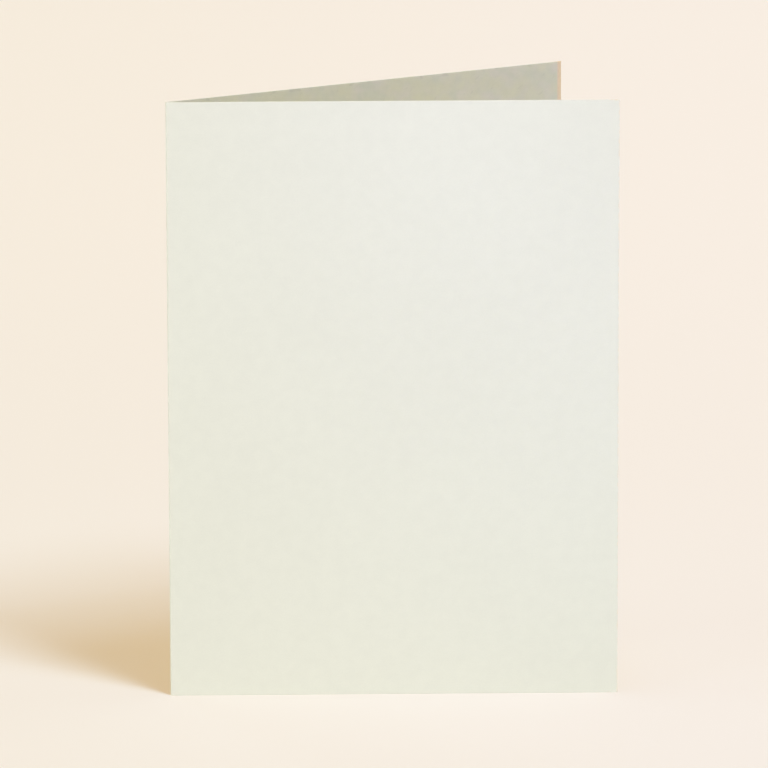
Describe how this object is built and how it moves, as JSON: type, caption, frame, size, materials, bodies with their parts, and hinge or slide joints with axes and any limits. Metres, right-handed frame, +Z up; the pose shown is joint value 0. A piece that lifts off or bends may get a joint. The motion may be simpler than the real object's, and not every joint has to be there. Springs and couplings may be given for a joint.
{
  "type": "greeting card",
  "caption": "Blank greeting card: one sheet of heavy uncoated card, scored and folded once, standing open in a narrow V on its bottom edge.",
  "frame": {"origin": "middle of the card's footprint, on the surface that it stands on", "axes": "+Z up along the fold, +X from the fold towards the free edges, -Y out of the front leaf, which is square to the Y axis"},
  "size_m": [0.1174, 0.054, 0.1587],
  "materials": {
    "card_stock": "matte uncoated, pale mint-ivory"
  },
  "bodies": {
    "root": {"folded_card": "card_stock"}
  },
  "joints": []
}
